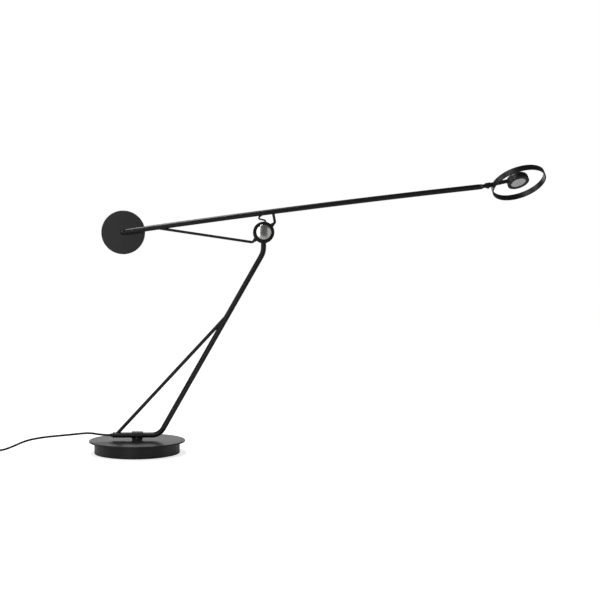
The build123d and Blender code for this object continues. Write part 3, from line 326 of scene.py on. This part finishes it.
# %% [markdown]
# ## The strain relief on the driver
#
# A moulded sleeve keeps the cord from kinking where it leaves the driver's housing: thick and
# stiff at the housing, thin and soft at its free end, with grooves that let it bend. A plain cone
# has the taper, and a row of rings gives it its ribs.

# %% The ribbed sleeve
ROUND_STEPS = 64
RIBS = 7
RIB_STEPS = 12
RIB_RADIUS = 0.8 * MM
RIB_TAPER = 0.25 * MM
SLEEVE_WALL = 0.7 * MM
CONE_INSET = (0.5 * MM, 0.3 * MM)  # at the thick end and at the thin end
RIB_INSET = (0.6 * MM, 0.35 * MM)
ALONG_X = (0, math.radians(90), 0)


def ribbed_sleeve():
    """A cone with rings on it, in the place of the CAD model's plain sleeve."""
    low, high = (Vector(corner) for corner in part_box("driver_relief"))
    centre, length = middle("driver_relief"), high.x - low.x
    thick, thin = (high.y - low.y) / 2, CORD_D / 2 + SLEEVE_WALL
    bpy.ops.mesh.primitive_cone_add(
        vertices=ROUND_STEPS,
        radius1=thick - CONE_INSET[0],
        radius2=thin - CONE_INSET[1],
        depth=length,
        location=centre,
        rotation=ALONG_X,
    )
    sleeve = bpy.context.object
    rings = [sleeve]
    for i in range(RIBS):
        share = (i + 0.5) / RIBS
        bpy.ops.mesh.primitive_torus_add(
            major_segments=ROUND_STEPS,
            minor_segments=RIB_STEPS,
            major_radius=(thick - RIB_INSET[0]) * (1 - share) + (thin - RIB_INSET[1]) * share,
            minor_radius=RIB_RADIUS - RIB_TAPER * share,
            location=(low.x + length * share, centre.y, centre.z),
            rotation=ALONG_X,
        )
        rings.append(bpy.context.object)
    bpy.ops.object.select_all(action="DESELECT")
    for piece in rings:
        piece.select_set(True)
    bpy.context.view_layer.objects.active = sleeve
    bpy.ops.object.join()
    sleeve.name = "ribbed_sleeve"
    apply_all(sleeve)
    bpy.ops.object.shade_smooth_by_angle(angle=math.radians(40))
    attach(sleeve, "stem")
    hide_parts("driver_relief")
    return sleeve


added["ribbed_sleeve"] = ribbed_sleeve()

# %% [markdown]
# ## Shader trees
#
# The floor, the world and every finish are trees of shader nodes. The helpers below add a node and
# connect it in one go, so that each tree can be read from its inputs to its result.


# %% Helpers for shader trees
def blank_tree(owner):
    """An empty node tree for a material or a world."""
    owner.use_nodes = True
    owner.node_tree.nodes.clear()
    return owner.node_tree


def put(tree, kind, sockets=None, **settings):
    """Adds a node: settings are its properties, sockets its values or links by name or number."""
    node = tree.nodes.new("ShaderNode" + kind)
    for key, value in settings.items():
        setattr(node, key, value)
    for key, value in (sockets or {}).items():
        if isinstance(value, bpy.types.NodeSocket):
            tree.links.new(value, node.inputs[key])
        else:
            node.inputs[key].default_value = value
    return node


def maths(tree, operation, *values):
    """One step of arithmetic on sockets or numbers."""
    return put(tree, "Math", dict(enumerate(values)), operation=operation).outputs[0]


def remap(tree, value, source, target):
    """Carries a value over from one range, (low, high), to another."""
    sockets = {
        "Value": value,
        "From Min": source[0],
        "From Max": source[1],
        "To Min": target[0],
        "To Max": target[1],
    }
    return put(tree, "MapRange", sockets).outputs[0]


def blend(tree, share, dark, light):
    """A colour between two others: a Mix node takes them in sockets 6 and 7 and gives it in 2."""
    return put(tree, "Mix", {0: share, 6: dark, 7: light}, data_type="RGBA").outputs[2]


# %% [markdown]
# ## Floor, background and light
#
# The lamp stands on a white table in front of white. The floor is a big plane that keeps a faint
# shadow. For the camera it also glows, so that it burns out to plain white except where the lamp's
# shadow falls, and the glow rises with the distance, where the panels' light has faded.
#
# The lights are large soft panels. One overhead lights the base plate, one low behind is mirrored
# in the plate's top, one far to the left draws the stem's left edge, and one far to the right
# lights the right sides. Two in front, left and right of the camera, are there for the knob: its
# domed face mirrors the strong left one as a bright sector, the weak right one as a grey one, and
# the dark room between them.

# %% The floor
FLOOR_SIZE = 12
FLOOR_COLOUR = (0.75, 0.75, 0.75, 1)
GLOW_FROM = (0.8, 2.2)  # metres from the origin
GLOW_TO = (0.75, 1.0)


def stage_floor():
    """A white floor that also glows for the camera."""
    bpy.ops.mesh.primitive_plane_add(size=FLOOR_SIZE, location=(0, 0, 0))
    floor = bpy.context.object
    floor.name = "floor"
    material = bpy.data.materials.new("white_floor")
    tree = blank_tree(material)
    place = put(tree, "TexCoord").outputs["Object"]
    away = put(tree, "VectorMath", {0: place}, operation="LENGTH").outputs["Value"]
    seen = put(tree, "LightPath").outputs["Is Camera Ray"]
    strength = maths(tree, "MULTIPLY", seen, remap(tree, away, GLOW_FROM, GLOW_TO))
    white = put(tree, "BsdfDiffuse", {"Color": FLOOR_COLOUR})
    glow = put(tree, "Emission", {"Strength": strength})
    both = put(tree, "AddShader", {0: white.outputs[0], 1: glow.outputs[0]})
    put(tree, "OutputMaterial", {"Surface": both.outputs[0]})
    floor.data.materials.append(material)


stage_floor()

# %% The world
ROOM_GREY = 0.09


def make_world():
    """White for the camera, and a dim grey room for everything that is lit or mirrored."""
    world = bpy.data.worlds.new("studio")
    bpy.context.scene.world = world
    tree = blank_tree(world)
    seen = put(tree, "LightPath").outputs["Is Camera Ray"]
    strength = maths(tree, "MAXIMUM", ROOM_GREY, seen)
    background = put(tree, "Background", {"Color": (1, 1, 1, 1), "Strength": strength})
    put(tree, "OutputWorld", {"Surface": background.outputs[0]})


make_world()


# %% The soft panels
def soft_panel(name, place, aim, size, watts):
    """A rectangular area light that the camera doesn't see."""
    data = bpy.data.lights.new(name, "AREA")
    data.shape = "RECTANGLE"
    data.size, data.size_y = size
    data.energy = watts
    panel = bpy.data.objects.new(name, data)
    panel.location = place
    panel.rotation_euler = (Vector(aim) - Vector(place)).to_track_quat("-Z", "Y").to_euler()
    panel.visible_camera = False
    bpy.context.scene.collection.objects.link(panel)


LAMP_MIDDLE = (0.25, 0.0, 0.25)
PLATE_MIDDLE = (0.0, 0.0, 0.03)
panels = [
    # name, place, aim, size, watts
    ("overhead_panel", (-0.15, 0.0, 1.6), LAMP_MIDDLE, (0.9, 0.4), 13),
    ("back_panel", (0.0, 1.6, 0.40), PLATE_MIDDLE, (1.4, 0.35), 2.2),
    ("left_panel", (-0.41, -1.49, 0.50), LAMP_MIDDLE, (0.5, 1.2), 3.8),
    ("right_panel", (0.89, -1.49, 0.45), LAMP_MIDDLE, (0.45, 1.0), 0.55),
    ("far_left_panel", (-1.9, 0.2, 0.8), LAMP_MIDDLE, (0.6, 1.4), 9),
    ("far_right_panel", (2.2, 0.1, 0.3), LAMP_MIDDLE, (0.5, 0.8), 4),
]
for panel in panels:
    soft_panel(*panel)

# %% [markdown]
# ## Finishes
#
# A finish is a Principled BSDF whose colour, roughness and bump come from small shader groups.
# Each group makes one effect, such as the grain of a powder coat or the marks of a turning tool,
# and every finish that has the effect uses the same group with its own values. All groups give the
# same three results.

# %% Helpers for shader groups
GROUP_RESULTS = [("Color", "Color"), ("Roughness", "Float"), ("Height", "Float")]


def new_group(name, inputs):
    """An empty shader group, the sockets it is given, and the node that takes its results.

    Each input is its name, its kind and its default.
    """
    group = bpy.data.node_groups.new(name, "ShaderNodeTree")
    for socket, kind, value in inputs:
        made = group.interface.new_socket(socket, in_out="INPUT", socket_type="NodeSocket" + kind)
        if value is not None:
            made.default_value = value
    for socket, kind in GROUP_RESULTS:
        group.interface.new_socket(socket, in_out="OUTPUT", socket_type="NodeSocket" + kind)
    return group, group.nodes.new("NodeGroupInput").outputs, group.nodes.new("NodeGroupOutput")


def give(group, leave, *results):
    """Connects a group's three results, in the order of GROUP_RESULTS."""
    for (socket, _), result in zip(GROUP_RESULTS, results):
        group.links.new(result, leave.inputs[socket])
    return group


# %% [markdown]
# ### Powder coat
#
# Powder coat is plastic dust, baked until it flows. Close up it has a fine pebbled skin, and from
# a step away it looks even, with a soft sheen. Two noises make the skin: a fine one for the
# pebbles and a slow one that lets tone and sheen drift a little.


# %% The powder grain group
def powder_grain_group():
    """Two noises, of which the fine one is also the skin's height."""
    inputs = [
        ("Vector", "Vector", None),
        ("Dark", "Color", (0.01, 0.01, 0.01, 1)),
        ("Light", "Color", (0.02, 0.02, 0.02, 1)),
        ("Pebbles", "Float", 900.0),
        ("Drift", "Float", 18.0),
        ("Roughness", "Float", 0.55),
        ("Spread", "Float", 0.1),
    ]
    tree, given, leave = new_group("powder grain", inputs)

    def noise(scale, detail):
        sockets = {"Vector": given["Vector"], "Scale": given[scale], "Detail": detail}
        return put(tree, "TexNoise", sockets).outputs["Fac"]

    pebbles, drift = noise("Pebbles", 2.0), noise("Drift", 3.0)
    tone = remap(tree, maths(tree, "ADD", pebbles, drift), (0.7, 1.3), (0.0, 1.0))
    colour = blend(tree, tone, given["Dark"], given["Light"])
    swing = maths(tree, "SUBTRACT", drift, 0.5)
    wide = maths(tree, "MULTIPLY", swing, given["Spread"])
    rough = maths(tree, "ADD", wide, given["Roughness"])
    return give(tree, leave, colour, rough, pebbles)


powder_grain = powder_grain_group()


# %% [markdown]
# ### Turned metal
#
# A part turned on a lathe keeps the tool's path: rings, finer than a hair, round its axis. They
# make the metal shine in broad fans. The group measures how far each point is from an axis that
# runs along Y and makes rings of that distance.


# %% The turning marks group
def turning_marks_group():
    """Rings round the Y axis, in colour, roughness and height."""
    inputs = [
        ("Vector", "Vector", None),
        ("Rings", "Float", 4000.0),
        ("Colour", "Color", (0.7, 0.7, 0.7, 1)),
        ("Roughness", "Float", 0.3),
    ]
    tree, given, leave = new_group("turning marks", inputs)
    split = put(tree, "SeparateXYZ", {0: given["Vector"]}).outputs
    flat = put(tree, "CombineXYZ", {0: split["X"], 1: split["Z"]}).outputs[0]
    away = put(tree, "VectorMath", {0: flat}, operation="LENGTH").outputs["Value"]
    far = maths(tree, "MULTIPLY", away, given["Rings"])
    sockets = {"W": far, "Scale": 1.0, "Detail": 3.0}
    ring = put(tree, "TexNoise", sockets, noise_dimensions="1D").outputs["Fac"]
    shade = remap(tree, ring, (0.3, 0.7), (0.86, 1.0))
    colour = put(tree, "VectorMath", {0: given["Colour"], 3: shade}, operation="SCALE").outputs[0]
    swing = remap(tree, ring, (0.3, 0.7), (-0.05, 0.05))
    rough = maths(tree, "ADD", swing, given["Roughness"])
    return give(tree, leave, colour, rough, ring)


turning_marks = turning_marks_group()


# %% [markdown]
# ### Braid
#
# The cord's cover is braided from two sets of threads that wind round it in opposite directions
# and cross over and under each other. A curve's own coordinates run along it and round it, so two
# slanting waves in them, one for each direction, cross as the threads do. The colour follows the
# threads' height and is darker in the dips between them: that darkening is painted shade.


# %% The braid group
def braid_group():
    """Two slanting waves that cross, the higher one on top, with painted shade in the dips."""
    inputs = [
        ("Vector", "Vector", None),
        ("Dark", "Color", (0.004, 0.004, 0.004, 1)),
        ("Light", "Color", (0.01, 0.01, 0.01, 1)),
        ("Along", "Float", 900.0),
        ("Round", "Float", 8.0),
        ("Roughness", "Float", 0.8),
    ]
    tree, given, leave = new_group("braid", inputs)
    split = put(tree, "SeparateXYZ", {0: given["Vector"]}).outputs
    run = maths(tree, "MULTIPLY", split["X"], given["Along"])
    turn = maths(tree, "MULTIPLY", split["Y"], given["Round"])
    threads = []
    for way in ("ADD", "SUBTRACT"):
        angle = maths(tree, "MULTIPLY", maths(tree, way, run, turn), math.tau)
        threads.append(maths(tree, "ABSOLUTE", maths(tree, "SINE", angle)))
    top = maths(tree, "MAXIMUM", *threads)
    # Painted shade: the colour is darker where the threads sink between each other.
    colour = blend(tree, top, given["Dark"], given["Light"])
    return give(tree, leave, colour, given["Roughness"], top)


braid = braid_group()


# %% Materials from a group
def material_from(
    name, group, values, bump=0.1, bump_mm=0.02, metallic=0.0, centre=None, space="Object", **shader
):
    """A material with one group's colour, roughness and bump, on a Principled BSDF."""
    material = bpy.data.materials.new(name)
    tree = blank_tree(material)
    place = put(tree, "TexCoord").outputs[space]
    if centre is not None:
        place = put(tree, "Mapping", {"Vector": place, "Location": [-c for c in centre]}).outputs[0]
    effect = put(tree, "Group", node_tree=group)
    tree.links.new(place, effect.inputs["Vector"])
    for key, value in values.items():
        effect.inputs[key].default_value = value
    height = effect.outputs["Height"]
    skin = put(tree, "Bump", {"Height": height, "Strength": bump, "Distance": bump_mm * MM})
    body = put(
        tree,
        "BsdfPrincipled",
        {
            "Base Color": effect.outputs["Color"],
            "Roughness": effect.outputs["Roughness"],
            "Normal": skin.outputs[0],
            "Metallic": metallic,
            **shader,
        },
    )
    put(tree, "OutputMaterial", {"Surface": body.outputs[0]})
    return material


finishes = {}
finishes["black_coat"] = material_from(
    "black_powder_coat",
    powder_grain,
    {
        "Dark": (0.0045, 0.0043, 0.0050, 1),
        "Light": (0.0075, 0.0072, 0.0083, 1),
        "Pebbles": 900.0,
        "Roughness": 0.36,
        "Spread": 0.10,
    },
    bump=0.25,
    bump_mm=0.05,
    **{"Specular IOR Level": 0.45},
)
finishes["cast_weight"] = finishes["black_coat"]
finishes["turned_aluminium"] = material_from(
    "turned_aluminium",
    turning_marks,
    {"Colour": (0.84, 0.83, 0.82, 1), "Roughness": 0.17, "Rings": 5000.0},
    bump=0.2,
    bump_mm=0.01,
    metallic=1.0,
    centre=middle("clamp_knob"),
    Anisotropic=0.3,
)
knob_tree = finishes["turned_aluminium"].node_tree
round_the_axis = put(knob_tree, "Tangent", direction_type="RADIAL", axis="Y")
knob_shader = next(node for node in knob_tree.nodes if node.type == "BSDF_PRINCIPLED")
knob_tree.links.new(round_the_axis.outputs[0], knob_shader.inputs["Tangent"])
finishes["cord_cover"] = material_from(
    "cord_braid",
    braid,
    {"Dark": (0.003, 0.003, 0.0034, 1), "Light": (0.009, 0.009, 0.0095, 1), "Roughness": 0.8},
    bump=0.5,
    bump_mm=0.2,
    space="UV",
    **{"Specular IOR Level": 0.3},
)


# %% The plain finishes
def grained(name, dark, light, roughness, metallic=0.0):
    """A finish with a fine even grain, between a dark and a light colour."""
    return material_from(
        name,
        powder_grain,
        {
            "Dark": (*dark, 1),
            "Light": (*light, 1),
            "Pebbles": 1500.0,
            "Roughness": roughness,
            "Spread": 0.12,
        },
        bump=0.2,
        bump_mm=0.03,
        metallic=metallic,
    )


plain_finishes = {
    # slot: name, dark, light, roughness and, for a metal, how metallic it is
    "brass": ("turned_brass", (0.50, 0.34, 0.12), (0.60, 0.42, 0.17), 0.35, 1.0),
    "steel": ("plain_steel", (0.42, 0.42, 0.43), (0.52, 0.52, 0.53), 0.35, 1.0),
    "black_steel": ("blackened_steel", (0.012, 0.012, 0.013), (0.02, 0.02, 0.021), 0.42, 0.4),
    "friction_pad": ("pressed_fibre", (0.05, 0.042, 0.035), (0.09, 0.08, 0.07), 0.85),
    "pad_rubber": ("foot_rubber", (0.012, 0.012, 0.012), (0.02, 0.02, 0.02), 0.8),
    "inner_lead": ("lead_sheath", (0.010, 0.010, 0.011), (0.016, 0.016, 0.017), 0.5),
    "black_plastic": ("black_moulding", (0.003, 0.003, 0.0035), (0.006, 0.006, 0.0065), 0.5),
    "circuit_board": ("board_laminate", (0.01, 0.07, 0.03), (0.02, 0.10, 0.05), 0.45),
    "led_white": ("led_phosphor", (0.75, 0.62, 0.20), (0.85, 0.72, 0.28), 0.5),
    "diffuser_white": ("opal_diffuser", (0.74, 0.73, 0.73), (0.80, 0.79, 0.79), 0.5),
    "sink_metal": ("heat_sink_metal", (0.55, 0.55, 0.56), (0.65, 0.65, 0.66), 0.4, 1.0),
    "pin_metal": ("plug_pin_metal", (0.68, 0.68, 0.69), (0.75, 0.75, 0.76), 0.22, 1.0),
}
for slot, values in plain_finishes.items():
    finishes[slot] = grained(*values)

# %% Give every piece its finish
slot_of = {s["node"]: s["material_slot"] for s in frame["record"]["subparts"]}
added_slot_of = {
    "arm_grommet": "pad_rubber",
    "hub_grommet": "pad_rubber",
    "ribbed_sleeve": "inner_lead",
}


def dress(piece, finish):
    """Takes a piece's materials away and gives it one finish."""
    piece.data.materials.clear()
    piece.data.materials.append(finish)


for name, node in nodes.items():
    dress(node, finishes[slot_of[name]])
dress(supply_cord, finishes["cord_cover"])
for name, piece in added.items():
    dress(piece, finishes[added_slot_of.get(name, "black_coat")])

# %% Colours render as they are written
bpy.context.scene.view_settings.view_transform = "Standard"
